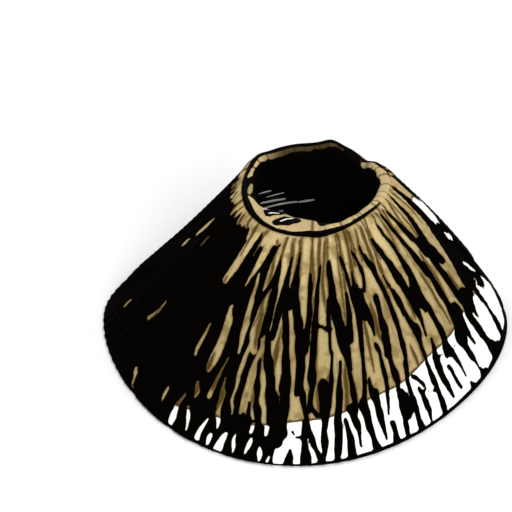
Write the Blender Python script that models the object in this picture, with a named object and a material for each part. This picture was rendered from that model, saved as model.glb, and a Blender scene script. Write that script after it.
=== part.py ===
"""A keyhole limpet shell: one ribbed cone, hollow beneath and open at the top.

The shell grew as a single piece, so it is one object. Its surface is one grid of quads,
bent round into a ring: each row of the grid runs once round the shell, and the rows follow
the shell's section, from the foot up the outside, over the lip of the hole, down through
the hole and back along the inside to the foot.

Frame: the shell rests on z = 0 with its box centred on the origin. +Y is towards the short
slope, -Y towards the long one, and +X to the right of somebody who looks along +Y.
A bearing is an angle round the hole, anticlockwise from +X.
"""

import math

import bpy
import numpy as np

MM = 0.001

# The margin, which is the shell's lower edge, seen from above
HALF_WIDTH = 28.2 * MM
LONG_REACH = 34.2 * MM  # from the hole's middle to the margin, along -Y
SHORT_REACH = 25.8 * MM  # and along +Y
# Each wave is (lobes round the shell, height as a share of the reach, bearing of one crest)
MARGIN_WAVES = ((2, 0.018, 45), (3, 0.009, -90), (4, 0.020, -6), (5, 0.008, 12))

# The lip round the hole, and the hole itself
LIP_HEIGHT = 22.4 * MM
LIP_HALF_WIDTH = 10.0 * MM
LIP_HALF_LENGTH = 12.2 * MM
LIP_SIDE_SHIFT = 1.0 * MM  # the lip sits a little to the right of the margin's middle
LIP_WAVES = ((3, 0.036, 9),)
LIP_TILT = 0.052  # the lip climbs towards the right by this share of the way
# Each lump or dip of the far lip is (bearing in degrees, rise in mm, spread in degrees)
LIP_LUMPS = ((144, 0.80, 13), (75, 0.75, 10), (43, -0.95, 10))
LIP_WIDTH = 1.5 * MM  # from the lip's outer edge to the hole
BROAD_LIP = 2.9 * MM  # how much wider the lip is on its broad shelf
BROAD_LIP_BEARING = math.radians(246)
BROAD_LIP_SPREAD = math.radians(33)
HOLE_DEPTH = 3.4 * MM  # from the lip's crest to the bottom of the hole's wall

# The wall and its foot
WALL_AT_MARGIN = 1.5 * MM
WALL_AT_LIP = 2.5 * MM
FOOT_ROUNDING = 0.6 * MM
LOWEST_GROOVE = 0.25 * MM  # no groove of the margin reaches down to the foot's flat ring
SIDE_BULGE = 0.08  # how far the right-hand slope swells, as a share of the height
GIRTH_SAG = 0.015  # how far every slope sags inwards at its middle, as the same share

# The ribs, which run down the outside and end as a scalloped margin
MAIN_RIBS = 48
RIB_RELIEF_AT_LIP = 0.25 * MM  # from groove to crest
RIB_RELIEF_AT_MARGIN = 0.65 * MM
NEW_RIBS_FROM = 0.25  # share of the slope where a second set of ribs starts to rise
NEW_RIBS_FULL = 0.70  # and where both sets are alike
RIB_WANDER = 0.32  # how far the ribs sway together, as a share of their spacing
RIB_STRAY = 0.16  # how far each crest and groove strays alone, as a share of a column's width
RIB_SWELLS = 2.5  # times that a rib swells and thins on its way down
GROWTH_STEP = 0.30 * MM  # the ledge that an old resting line leaves on the slope
GROWTH_STEP_AT = 0.81  # share of the slope, on average
GROWTH_STEP_SHIFT = 0.10  # the new growth is wider on the right by this share
SEED = 11
CREASE_ANGLE = math.radians(75)  # only the foot's edges are sharper than this

# The grid. Four columns follow each main rib: its crest, a side, the groove and a side
MAIN_SET = (1, 0, -1, 0)
BOTH_SETS = (1, -1, 1, -1)
COLUMNS = len(MAIN_SET) * MAIN_RIBS
SLOPE_ROWS = 13
INSIDE_SHARES = (0.10, 0.30, 0.52, 0.75, 0.90)


def smooth_step(start, end, value):
    """0 before start, 1 after end, and a smooth rise between them."""
    share = np.clip((value - start) / (end - start), 0, 1)
    return share * share * (3 - 2 * share)


def waves(bearing, table):
    """What the outline is multiplied by at each bearing."""
    swell = np.ones_like(bearing)
    for lobes, height, crest in table:
        swell += height * np.cos(lobes * (bearing - math.radians(crest)))
    return swell


def margin_outline(bearing):
    """Plan of the margin, as (x, y), with the hole's middle near y = 0."""
    reach = np.where(np.sin(bearing) < 0, LONG_REACH, SHORT_REACH)
    swell = waves(bearing, MARGIN_WAVES)
    return HALF_WIDTH * np.cos(bearing) * swell, reach * np.sin(bearing) * swell


def lip_outline(bearing):
    """Plan of the lip's outer edge, as (x, y)."""
    swell = waves(bearing, LIP_WAVES)
    x = LIP_SIDE_SHIFT + LIP_HALF_WIDTH * np.cos(bearing) * swell
    return x, LIP_HALF_LENGTH * np.sin(bearing) * swell


def turn_from(bearing, other):
    """The angle from one bearing to another, between half a turn back and half a turn on."""
    return np.angle(np.exp(1j * (bearing - other)))


def hole_outline(bearing):
    """Plan of the hole: the lip's edge, moved inwards by the lip's width."""
    x, y = lip_outline(bearing)
    reach = np.hypot(x - LIP_SIDE_SHIFT, y)
    shelf = np.exp(-((turn_from(bearing, BROAD_LIP_BEARING) / BROAD_LIP_SPREAD) ** 4))
    inwards = (LIP_WIDTH + BROAD_LIP * shelf) / reach
    return x + (LIP_SIDE_SHIFT - x) * inwards, y - y * inwards


def lip_height(bearing, x):
    height = LIP_HEIGHT + LIP_TILT * (x - LIP_SIDE_SHIFT)
    for crest, rise, spread in LIP_LUMPS:
        off = turn_from(bearing, math.radians(crest)) / math.radians(spread)
        height = height + rise * MM * np.exp(-(off**2))
    return height


def slope(bearing, share):
    """Points of the smooth slope, from the lip at share 0 to the margin at share 1."""
    lip_x, lip_y = lip_outline(bearing)
    margin_x, margin_y = margin_outline(bearing)
    x = lip_x + (margin_x - lip_x) * share
    y = lip_y + (margin_y - lip_y) * share
    swell = SIDE_BULGE * np.clip(np.cos(bearing), 0, None) - GIRTH_SAG
    drop = share - swell * 4 * share * (1 - share)
    top = lip_height(bearing, lip_x)
    z = top + (FOOT_ROUNDING - top) * drop
    return np.stack(np.broadcast_arrays(x, y, z), axis=-1)


def outward(points):
    """Unit normals of a grid of slope points, away from the shell's inside."""
    along = np.gradient(points, axis=0)
    around = np.roll(points, -1, axis=1) - np.roll(points, 1, axis=1)
    normal = np.cross(along, around)
    return normal / np.linalg.norm(normal, axis=-1, keepdims=True)


def rib_habits():
    """What sets each rib apart: its columns' stray, its strength and where it swells."""
    draw = np.random.default_rng(SEED)
    stray = RIB_STRAY * draw.uniform(-1, 1, COLUMNS)
    strength = np.repeat(draw.uniform(0.65, 1.25, MAIN_RIBS), len(MAIN_SET))
    swell_phase = np.repeat(draw.uniform(0, 2 * math.pi, MAIN_RIBS), len(MAIN_SET))
    return stray, strength, swell_phase


def column_bearings(share):
    """Bearing of each column at each share of the slope: the columns follow the ribs."""
    stray = rib_habits()[0]
    straight = np.linspace(0, 2 * math.pi, COLUMNS, endpoint=False)
    sway = np.sin(3 * straight + 3 * share) + np.sin(7 * straight - 4 * share + 1)
    wander = RIB_WANDER * sway / 2 * len(MAIN_SET) + stray
    return straight + share * wander * 2 * math.pi / COLUMNS


def rib_relief(share):
    """Height of the ribs above the smooth slope, negative in the grooves."""
    strength, swell_phase = rib_habits()[1:]
    mix = smooth_step(NEW_RIBS_FROM, NEW_RIBS_FULL, share)
    pattern = (1 - mix) * np.tile(MAIN_SET, MAIN_RIBS) + mix * np.tile(BOTH_SETS, MAIN_RIBS)
    height = RIB_RELIEF_AT_LIP + (RIB_RELIEF_AT_MARGIN - RIB_RELIEF_AT_LIP) * share
    swell = 1 + 0.3 * np.sin(2 * math.pi * RIB_SWELLS * share + swell_phase)
    return 0.5 * height * strength * swell * pattern


def outside_rows():
    """The ribbed slope, from the margin up to the lip."""
    share = np.linspace(1, 0, SLOPE_ROWS)[:, None]
    bearing = column_bearings(share)
    smooth = slope(bearing, share)
    normal = outward(smooth[::-1])[::-1]
    step_at = GROWTH_STEP_AT - GROWTH_STEP_SHIFT * np.cos(bearing)
    new_growth = smooth_step(-0.04, 0.04, share - step_at)
    relief = rib_relief(share) - GROWTH_STEP * new_growth
    rows = smooth + normal * relief[..., None]
    rows[..., 2] = np.maximum(rows[..., 2], LOWEST_GROOVE)
    return rows


def lip_rows():
    """The callus round the hole and the hole's wall, from the outside in."""
    bearing = column_bearings(0)
    outer_x, outer_y = lip_outline(bearing)
    hole_x, hole_y = hole_outline(bearing)
    top = lip_height(bearing, outer_x)
    # Each step is (share of the way in from the lip's edge to the hole, height over the lip)
    steps = (
        (0.30, 0.28 * MM),
        (0.68, 0.22 * MM),
        (1.00, -0.22 * MM),
        (1.12, -1.70 * MM),
        (1.00, -HOLE_DEPTH),
    )
    rows = []
    for inwards, rise in steps:
        x = outer_x + (hole_x - outer_x) * inwards
        y = outer_y + (hole_y - outer_y) * inwards
        rows.append(np.stack((x, y, top + rise), axis=-1))
    return np.array(rows)


def inside_rows():
    """The hollow's wall, from under the lip down to the foot."""
    share = np.array(INSIDE_SHARES)[:, None]
    smooth = slope(column_bearings(share), share)
    wall = WALL_AT_LIP + (WALL_AT_MARGIN - WALL_AT_LIP) * share
    return smooth - outward(smooth) * wall[..., None]


def foot_rows():
    """The flat ring that the shell rests on: its inner edge, then its outer edge."""
    margin = np.stack(margin_outline(column_bearings(1)), axis=-1)
    reach = np.linalg.norm(margin, axis=-1, keepdims=True)
    rows = []
    for inset in (WALL_AT_MARGIN + FOOT_ROUNDING, 0.7 * FOOT_ROUNDING):
        plan = margin * (1 - inset / reach)
        rows.append(np.concatenate((plan, np.zeros_like(reach)), axis=-1))
    return np.array(rows)


def section_rows():
    """Every row of the grid, in order round the shell's section."""
    rows = np.concatenate((outside_rows(), lip_rows(), inside_rows(), foot_rows()))
    plan = np.stack(margin_outline(column_bearings(1)), axis=-1)
    rows[..., :2] -= (plan.min(axis=0) + plan.max(axis=0)) / 2
    return rows


def ring_faces(rows, columns):
    """Quads between neighbouring rows and columns, both closed into rings."""
    faces = []
    for row in range(rows):
        next_row = (row + 1) % rows
        for column in range(columns):
            next_column = (column + 1) % columns
            faces.append(
                (
                    row * columns + column,
                    row * columns + next_column,
                    next_row * columns + next_column,
                    next_row * columns + column,
                )
            )
    return faces


def shell_material():
    """Chalky tan, as on the ribs."""
    material = bpy.data.materials.new("shell_tan")
    material.use_nodes = True
    surface = material.node_tree.nodes["Principled BSDF"]
    surface.inputs["Base Color"].default_value = (0.58, 0.43, 0.21, 1)
    surface.inputs["Roughness"].default_value = 0.62
    surface.inputs["Metallic"].default_value = 0.0
    return material


def build_shell():
    rows = section_rows()
    mesh = bpy.data.meshes.new("shell")
    mesh.from_pydata(rows.reshape(-1, 3).tolist(), [], ring_faces(*rows.shape[:2]))
    mesh.validate()
    mesh.shade_smooth()
    mesh.set_sharp_from_angle(angle=CREASE_ANGLE)
    mesh.materials.append(shell_material())
    shell = bpy.data.objects.new("shell", mesh)
    bpy.context.scene.collection.objects.link(shell)
    return shell


def clear_scene():
    for old in list(bpy.data.objects):
        bpy.data.objects.remove(old)


clear_scene()
build_shell()
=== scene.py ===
# %% [markdown]
# # A keyhole limpet shell
#
# This notebook dresses one real thing: the shell of a keyhole limpet, the kind that looks like a
# small volcano. It is a ribbed cone of chalk with a wide hole at the top, through which the animal
# breathed. The imported model gives its size and place, and everything below is worked out from the
# same few measures, so the fine surface fits round the plain solid without any fitting.
#
# We load the model first.

import math

import bpy
import numpy as np
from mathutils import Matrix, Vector


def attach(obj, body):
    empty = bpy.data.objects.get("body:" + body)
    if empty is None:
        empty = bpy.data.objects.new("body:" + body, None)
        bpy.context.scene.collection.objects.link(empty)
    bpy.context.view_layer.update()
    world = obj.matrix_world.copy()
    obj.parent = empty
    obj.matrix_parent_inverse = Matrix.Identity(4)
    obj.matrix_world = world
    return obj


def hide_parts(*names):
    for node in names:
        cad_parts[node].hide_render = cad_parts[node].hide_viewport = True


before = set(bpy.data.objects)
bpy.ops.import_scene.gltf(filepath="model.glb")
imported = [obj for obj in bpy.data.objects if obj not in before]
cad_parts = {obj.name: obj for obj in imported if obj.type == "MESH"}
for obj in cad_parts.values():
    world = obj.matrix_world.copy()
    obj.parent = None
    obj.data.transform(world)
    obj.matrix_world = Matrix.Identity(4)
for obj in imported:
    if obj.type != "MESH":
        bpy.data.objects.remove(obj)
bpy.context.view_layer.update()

MM = 0.001  # a millimetre, in metres


# %% [markdown]
# ## The shell's outline
#
# Seen from above, the margin is an oval with one long and one short end, a little lumpy, as a shell
# is that grew against a rock. The lip round the hole is a smaller oval, pushed to one side. Both are
# written as an ellipse times a few cosine waves. A traced outline would need many points. A formula
# needs only its radii and waves, and it stays smooth however finely it is cut.

# %% Measures of the form
HALF_WIDTH = 28.2 * MM
LONG_REACH = 34.2 * MM
SHORT_REACH = 25.8 * MM
# Each wave is its number of lobes, its height as a share of the radius, and a crest's bearing
MARGIN_WAVES = ((2, 0.018, 45), (3, 0.009, -90), (4, 0.020, -6), (5, 0.008, 12))

LIP_HEIGHT = 22.4 * MM
LIP_HALF_WIDTH = 10.0 * MM
LIP_HALF_LENGTH = 12.2 * MM
LIP_SIDE_SHIFT = 1.0 * MM
LIP_WAVES = ((3, 0.036, 9),)
LIP_TILT = 0.052  # how far it rises for each metre to the right
# Each lump or dip of the far lip is its bearing in degrees, its rise in mm and its spread in degrees
LIP_LUMPS = ((144, 0.80, 13), (75, 0.75, 10), (43, -0.95, 10))
LIP_WIDTH = 1.5 * MM
BROAD_LIP = 2.9 * MM
BROAD_LIP_BEARING = math.radians(246)
BROAD_LIP_SPREAD = math.radians(33)

WALL_AT_MARGIN = 1.5 * MM
WALL_AT_LIP = 2.5 * MM
FOOT_ROUNDING = 0.6 * MM
SIDE_BULGE = 0.08  # a share of the slope's height, as the sag is
GIRTH_SAG = 0.015
print("length and width of the margin, in mm:", (LONG_REACH + SHORT_REACH) / MM, 2 * HALF_WIDTH / MM)

# %% Outline of the margin, the lip and the hole
def smooth_step(start, end, value):
    """0 before start, 1 after end, and a smooth rise between them."""
    share = np.clip((value - start) / (end - start), 0, 1)
    return share * share * (3 - 2 * share)


def waves(bearing, table):
    swell = np.ones_like(bearing)
    for lobes, height, crest in table:
        swell += height * np.cos(lobes * (bearing - math.radians(crest)))
    return swell


def margin_outline(bearing):
    reach = np.where(np.sin(bearing) < 0, LONG_REACH, SHORT_REACH)
    swell = waves(bearing, MARGIN_WAVES)
    return HALF_WIDTH * np.cos(bearing) * swell, reach * np.sin(bearing) * swell


def lip_outline(bearing):
    swell = waves(bearing, LIP_WAVES)
    x = LIP_SIDE_SHIFT + LIP_HALF_WIDTH * np.cos(bearing) * swell
    return x, LIP_HALF_LENGTH * np.sin(bearing) * swell


def turn_from(bearing, other):
    """The angle from one bearing to another, between half a turn back and half a turn on."""
    return np.angle(np.exp(1j * (bearing - other)))


def lip_width(bearing):
    shelf = np.exp(-((turn_from(bearing, BROAD_LIP_BEARING) / BROAD_LIP_SPREAD) ** 4))
    return LIP_WIDTH + BROAD_LIP * shelf


def lip_height(bearing, x):
    height = LIP_HEIGHT + LIP_TILT * (x - LIP_SIDE_SHIFT)
    for crest, rise, spread in LIP_LUMPS:
        off = turn_from(bearing, math.radians(crest)) / math.radians(spread)
        height = height + rise * MM * np.exp(-(off**2))
    return height


def hole_outline(bearing):
    x, y = lip_outline(bearing)
    inwards = lip_width(bearing) / np.hypot(x - LIP_SIDE_SHIFT, y)
    return x + (LIP_SIDE_SHIFT - x) * inwards, y - y * inwards


OUTLINE_POINTS = 720
once_round = np.linspace(0, 2 * math.pi, OUTLINE_POINTS, endpoint=False)
margin_plan = np.stack(margin_outline(once_round), axis=-1)
PLAN_CENTRE = (margin_plan.min(axis=0) + margin_plan.max(axis=0)) / 2
print("the margin's middle lies this far from the hole's, in mm:", PLAN_CENTRE / MM)

# %% [markdown]
# ## The camera
#
# The shell was drawn from its long side, from a little above. A long lens, far away, keeps the far
# margin almost as wide as the near one, which is how small things are photographed. The shell
# stands below and to the right of the picture's middle, so the camera looks at a point a little up
# and to the left of it. Turning the camera is better than shifting its lens, because other views
# of the shell keep it in their middle.

# %% Camera
PICTURE_SIZE = 512
CAMERA_ELEVATION = math.radians(32)
CAMERA_DISTANCE = 0.420
FOCAL_PIXELS = 3018
SENSOR = 36  # mm
SIGHT_END = 10  # m, as far as the camera sees
SIGHTED_HEIGHT = 8 * MM  # a point on the hole's axis, at this height
SIGHTED_PIXEL = (306.2, 275.5)  # and where it stands in the picture

back = Vector((0, -math.cos(CAMERA_ELEVATION), math.sin(CAMERA_ELEVATION)))
right = Vector((1, 0, 0))
up = back.cross(right)
sighted = Vector((-PLAN_CENTRE[0], -PLAN_CENTRE[1], SIGHTED_HEIGHT))
pixel = CAMERA_DISTANCE / FOCAL_PIXELS
aim = sighted + right * (PICTURE_SIZE / 2 - SIGHTED_PIXEL[0]) * pixel
aim = aim + up * (SIGHTED_PIXEL[1] - PICTURE_SIZE / 2) * pixel


def add_object(name, data):
    made = bpy.data.objects.new(name, data)
    bpy.context.scene.collection.objects.link(made)
    return made


camera = add_object("camera", bpy.data.cameras.new("camera"))
camera.data.sensor_width = SENSOR
camera.data.lens = FOCAL_PIXELS / PICTURE_SIZE * SENSOR
camera.data.clip_end = SIGHT_END
camera.location = sighted + back * CAMERA_DISTANCE
camera.rotation_euler = (camera.location - aim).to_track_quat("Z", "Y").to_euler()
bpy.context.scene.camera = camera
print("lens in mm:", round(camera.data.lens, 1))

# %% [markdown]
# ## One grid for the whole surface
#
# The shell is one piece, so its skin is one mesh: a grid of quads bent round into a ring. Columns
# run round the hole and rows follow the section, from the margin up the outside, over the lip, down
# through the hole and back along the inside. Subdividing the plain solid would only smooth it. A
# grid of our own puts the points where the marks need them: many columns, because the grooves are
# narrow, and fewer rows, because they are long.
#
# The smooth outside comes first. Each point is known by its bearing round the hole and its share of
# the way down the slope, and every mark below is written in those two numbers.

# %% The smooth slope
COLUMNS = 864
OUTSIDE_ROWS = 88

bearing = np.linspace(0, 2 * math.pi, COLUMNS, endpoint=False)
share = np.linspace(1, 0, OUTSIDE_ROWS)[:, None]


def slope(bearing, share):
    """Points of the smooth slope, from the lip at share 0 to the margin at share 1."""
    lip_x, lip_y = lip_outline(bearing)
    margin_x, margin_y = margin_outline(bearing)
    x = lip_x + (margin_x - lip_x) * share
    y = lip_y + (margin_y - lip_y) * share
    swell = SIDE_BULGE * np.clip(np.cos(bearing), 0, None) - GIRTH_SAG
    drop = share - swell * 4 * share * (1 - share)
    top = lip_height(bearing, lip_x)
    z = top + (FOOT_ROUNDING - top) * drop
    return np.stack(np.broadcast_arrays(x, y, z), axis=-1)


def outward(points):
    """Unit normals of slope points that run from the lip down, away from the inside."""
    along = np.gradient(points, axis=0)
    around = np.roll(points, -1, axis=1) - np.roll(points, 1, axis=1)
    normal = np.cross(along, around)
    return normal / np.linalg.norm(normal, axis=-1, keepdims=True)


smooth = slope(bearing, share)
smooth_normal = outward(smooth[::-1])[::-1]
slope_length = np.linalg.norm(smooth[0] - smooth[-1], axis=-1) / MM
around = np.roll(smooth, -1, axis=1) - np.roll(smooth, 1, axis=1)
mm_per_degree = np.linalg.norm(around, axis=-1) / MM / (2 * 360 / COLUMNS)
print("slope in mm, shortest and longest:", slope_length.min().round(1), slope_length.max().round(1))

# %% [markdown]
# ## Grooves and ribs
#
# On a real limpet the ribs fork on their way down, because the shell grows wider and new ribs fill the
# room. The grooves between them are painted black as shade, and the crests stay pale. So we draw the
# grooves, as a painter would: each one is a tapered stroke. Eight numbers give where it starts and ends
# down the slope, its bearing in degrees at its start, middle and end, and its width in degrees at the
# same three places. The ones on the side that faces us were read from the drawing, after it had been
# unrolled over the shell with bearings and shares marked on it.
#
# A picture could hold such marks too, but a distance can do more. For each point we keep how deep
# it lies inside the nearest stroke, in millimetres, and below zero outside. The same number then
# carves the groove, colours it, and tells the material where its edge is, however close we look.

# %% Grooves on the near side
NEAR_GROOVES = (
    (0.13, 0.45, 250.4, 251.2, 251.4, 1.2, 3.2, 2.6),
    (0.40, 0.90, 250.8, 257.4, 261.5, 2.2, 3.4, 4.0),
    (0.10, 0.46, 256.6, 255.9, 254.5, 0.8, 3.4, 1.4),
    (0.08, 0.30, 261.9, 261.3, 261.4, 0.8, 3.0, 3.6),
    (0.22, 0.31, 256.5, 258.5, 260.5, 3.0, 4.0, 3.0),
    (0.27, 0.86, 257.0, 261.8, 262.5, 2.2, 3.0, 3.8),
    (0.22, 0.68, 260.7, 265.9, 267.2, 3.0, 3.6, 2.6),
    (0.60, 1.00, 267.0, 270.2, 274.9, 2.0, 1.5, 1.2),
    (0.17, 0.50, 269.1, 269.3, 268.4, 1.4, 2.4, 2.6),
    (0.15, 0.76, 274.0, 271.9, 271.2, 1.4, 2.4, 1.3),
    (0.398, 0.420, 272.4, 275.2, 278.0, 3.0, 3.2, 3.0),
    (0.655, 1.00, 275.3, 275.7, 275.1, 3.6, 2.0, 0.9),
    (0.68, 0.79, 270.6, 271.3, 273.6, 0.9, 1.2, 1.4),
    (0.13, 0.62, 279.7, 282.0, 285.6, 1.4, 4.2, 1.8),
    (0.30, 0.525, 278.6, 278.2, 278.6, 2.2, 1.6, 0.8),
    (0.45, 0.80, 284.9, 285.1, 285.5, 3.0, 1.3, 2.2),
    (0.525, 0.76, 279.0, 278.2, 276.8, 0.7, 1.3, 1.2),
    (0.575, 1.00, 281.5, 280.1, 279.1, 0.8, 2.2, 1.4),
    (0.29, 0.50, 287.8, 287.6, 286.2, 0.9, 2.4, 3.0),
    (0.12, 0.40, 287.6, 290.1, 292.3, 1.0, 2.0, 3.0),
    (0.28, 0.82, 293.0, 290.8, 288.4, 3.0, 1.7, 1.8),
    (0.31, 0.42, 293.6, 294.0, 295.2, 5.0, 5.6, 4.0),
    (0.13, 0.31, 295.7, 298.7, 297.6, 1.0, 2.0, 2.4),
    (0.21, 0.33, 293.1, 293.1, 293.4, 0.7, 1.2, 2.0),
    (0.38, 0.52, 296.0, 296.9, 297.5, 2.6, 2.2, 0.6),
    (0.55, 0.865, 296.9, 297.4, 296.5, 0.7, 1.5, 0.6),
    (0.56, 0.88, 252.2, 253.8, 257.2, 0.8, 1.9, 1.8),
    (0.745, 0.87, 251.7, 252.4, 253.0, 0.6, 1.3, 1.8),
    (0.12, 0.34, 301.5, 304.9, 307.4, 1.6, 2.4, 1.8),
    (0.21, 0.27, 305.8, 306.6, 307.2, 1.0, 2.4, 1.4),
    (0.28, 0.76, 306.7, 308.3, 305.6, 1.8, 1.9, 1.7),
    (0.70, 1.00, 306.0, 305.6, 305.9, 1.8, 1.6, 2.0),
    (0.365, 0.62, 302.3, 302.0, 300.9, 2.6, 2.9, 3.0),
    (0.50, 0.62, 303.5, 302.8, 301.8, 0.6, 1.1, 1.2),
    (0.55, 1.00, 300.7, 301.4, 300.6, 2.2, 1.6, 1.4),
    (0.80, 0.88, 302.6, 302.6, 302.6, 1.4, 4.4, 4.8),
    (0.30, 0.50, 310.1, 311.9, 313.5, 0.9, 1.2, 2.4),
    (0.39, 1.00, 312.7, 315.2, 315.2, 1.8, 1.7, 2.2),
    (0.56, 0.66, 315.6, 316.0, 315.6, 1.4, 2.6, 1.4),
    (0.12, 0.645, 312.1, 318.6, 319.4, 1.8, 4.0, 0.8),
    (0.075, 0.46, 320.9, 324.6, 324.6, 1.2, 2.6, 3.4),
    (0.40, 0.55, 324.4, 323.2, 324.0, 3.4, 5.6, 2.4),
    (0.50, 0.78, 325.0, 326.1, 325.6, 2.2, 2.4, 3.0),
    (0.045, 0.45, 328.7, 332.0, 335.2, 1.6, 2.7, 3.8),
    (0.40, 0.78, 335.0, 335.3, 334.4, 3.8, 3.1, 4.6),
    (0.055, 0.36, 335.0, 338.2, 341.4, 1.6, 3.2, 4.4),
    (0.30, 1.00, 342.5, 342.7, 344.2, 4.2, 3.2, 3.0),
    (0.03, 0.34, 347.6, 347.8, 344.8, 1.8, 3.4, 4.4),
    (0.40, 0.46, 345.6, 345.8, 347.2, 6.0, 5.6, 3.4),
    (0.68, 0.76, 345.0, 346.5, 348.0, 7.0, 8.0, 5.0),
    (0.03, 0.40, 358.8, 360.0, 356.8, 3.0, 6.4, 6.4),
    (0.36, 0.70, 358.5, 355.3, 352.2, 9.0, 9.0, 9.0),
    (0.42, 0.72, 364.0, 363.0, 362.0, 8.0, 12.0, 9.0),
    (0.70, 0.97, 353.6, 354.2, 352.0, 1.8, 2.4, 3.0),
    (0.80, 1.00, 348.0, 346.0, 347.0, 1.0, 2.2, 9.0),
)

# %% Grooves in the pale new growth
NEW_GROWTH_GROOVES = (
    (0.86, 0.88, 265.9, 267.3, 269.0, 1.0, 1.2, 1.2),
    (0.93, 1.00, 266.2, 265.9, 265.6, 0.5, 1.9, 2.6),
    (0.805, 1.00, 269.0, 270.0, 270.4, 0.6, 2.1, 3.0),
    (0.82, 1.00, 281.9, 283.0, 283.3, 0.7, 2.0, 2.2),
    (0.78, 0.955, 284.0, 285.6, 286.1, 2.5, 1.7, 0.5),
    (0.78, 1.00, 288.4, 289.5, 290.8, 3.2, 1.8, 2.4),
    (0.78, 0.81, 283.6, 286.0, 289.6, 1.0, 1.2, 1.0),
    (0.69, 0.955, 291.5, 293.1, 293.7, 1.2, 2.2, 0.5),
    (0.905, 1.00, 296.6, 296.9, 297.0, 0.9, 1.8, 2.8),
    (0.76, 0.845, 308.0, 309.8, 311.4, 0.7, 1.3, 0.9),
    (0.83, 0.97, 308.6, 310.0, 309.5, 0.9, 1.9, 0.9),
    (0.85, 0.87, 309.8, 312.0, 314.4, 0.9, 1.0, 1.4),
    (0.685, 0.95, 320.4, 319.3, 320.6, 1.2, 3.1, 0.6),
    (0.835, 0.945, 323.3, 323.8, 324.5, 1.3, 1.5, 0.8),
    (0.74, 0.915, 326.0, 327.4, 328.6, 3.0, 2.0, 0.8),
    (0.77, 0.79, 321.4, 326.0, 333.0, 0.9, 1.6, 1.6),
    (0.77, 0.935, 332.8, 333.9, 334.4, 3.4, 2.1, 0.6),
    (0.66, 0.855, 338.3, 337.8, 338.4, 3.4, 2.6, 0.6),
    (0.955, 1.00, 328.8, 328.9, 329.0, 0.6, 2.6, 5.0),
    (0.95, 1.00, 335.0, 335.6, 336.2, 1.4, 4.0, 7.0),
)
print("grooves read from the drawing:", len(NEAR_GROOVES) + len(NEW_GROWTH_GROOVES))

# %% [markdown]
# The left flank is almost black: painted shade covers crests and grooves alike there, and only a few
# crests show through it as pale slivers. They are strokes of the same kind, cut out of the dark. The
# last few lie in the painted shade of the right edge.
#
# That edge has marks of its own. A few patches are painted white as highlight, and over crests and
# grooves lie dark strokes of painted shade. They are strokes too, but they only colour the shell and
# aren't carved, because a deep groove at the edge would hide behind the crest next to it.

# %% Pale slivers in the dark
PALE_SLIVERS = (
    (0.04, 0.30, 226.6, 224.4, 222.6, 7.0, 6.0, 4.0),
    (0.27, 0.315, 223.6, 222.2, 220.6, 3.0, 1.8, 0.6),
    (0.06, 0.15, 234.0, 232.6, 231.3, 2.4, 1.6, 0.7),
    (0.06, 0.28, 239.6, 237.3, 234.9, 6.0, 3.6, 0.7),
    (0.20, 0.555, 240.1, 241.7, 243.2, 1.6, 2.8, 1.4),
    (0.07, 0.27, 248.4, 246.9, 245.0, 3.0, 4.2, 0.9),
    (0.25, 0.53, 249.5, 247.3, 248.6, 0.9, 4.6, 2.6),
    (0.48, 0.82, 247.4, 246.0, 247.4, 1.6, 1.5, 0.8),
    (0.45, 0.80, 251.4, 250.4, 250.0, 0.9, 2.4, 1.2),
    (0.50, 0.66, 226.5, 226.7, 226.9, 1.2, 1.7, 1.2),
    (0.38, 0.675, 232.4, 235.0, 234.4, 1.8, 4.2, 2.4),
    (0.59, 0.785, 239.5, 239.2, 238.5, 0.9, 1.3, 1.4),
    (0.67, 0.90, 241.8, 242.8, 243.9, 0.6, 1.8, 0.8),
    (0.755, 0.815, 233.0, 233.6, 234.0, 1.0, 1.9, 1.1),
    (0.82, 0.975, 230.4, 229.9, 229.8, 0.7, 1.8, 1.8),
    (0.87, 0.96, 233.5, 234.3, 235.2, 1.0, 1.2, 0.8),
    (0.875, 0.975, 240.5, 239.4, 239.6, 0.7, 1.4, 1.8),
    (0.935, 0.98, 242.8, 242.8, 242.9, 1.1, 1.4, 1.0),
    (0.90, 0.98, 247.3, 246.8, 246.4, 0.8, 2.0, 2.6),
    (0.90, 0.98, 250.2, 250.2, 250.1, 0.8, 1.0, 0.6),
    (0.84, 0.87, 254.6, 254.6, 254.6, 1.5, 1.5, 1.4),
    (0.84, 0.87, 258.7, 258.7, 258.8, 1.6, 1.6, 1.2),
    (0.905, 0.975, 254.9, 254.4, 254.1, 0.9, 1.4, 0.7),
    (0.93, 0.985, 257.7, 257.7, 257.8, 1.0, 1.5, 1.0),
    (0.97, 0.99, 260.6, 260.5, 260.4, 1.0, 1.0, 1.0),
    (0.955, 0.99, 264.0, 263.4, 263.2, 1.6, 2.6, 2.6),
    (0.85, 0.92, 223.8, 223.8, 223.9, 0.9, 1.3, 0.8),
    (0.91, 0.98, 208.8, 210.4, 212.5, 1.6, 1.8, 0.5),
    (0.20, 0.32, 181.4, 181.0, 180.6, 1.4, 3.0, 2.2),
    (0.25, 0.31, 191.0, 191.2, 191.4, 1.2, 2.0, 1.2),
    (0.38, 0.42, 178.6, 178.6, 178.8, 2.0, 3.4, 2.2),
    (0.60, 0.72, 199.4, 199.6, 198.0, 1.2, 1.7, 1.8),
    (0.79, 0.84, 183.4, 183.4, 183.6, 1.0, 1.4, 0.9),
    (0.71, 0.92, 351.6, 349.1, 347.8, 1.4, 6.8, 2.6),
    (0.71, 0.93, 356.0, 358.0, 357.0, 0.9, 5.2, 3.6),
    (0.60, 0.69, 358.2, 359.8, 361.7, 0.9, 2.2, 1.0),
    (0.46, 0.50, 364.0, 365.0, 366.4, 3.0, 5.0, 3.0),
    (0.87, 0.98, 373.0, 371.6, 371.0, 1.0, 2.0, 2.0),
)
print("pale slivers:", len(PALE_SLIVERS))
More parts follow.
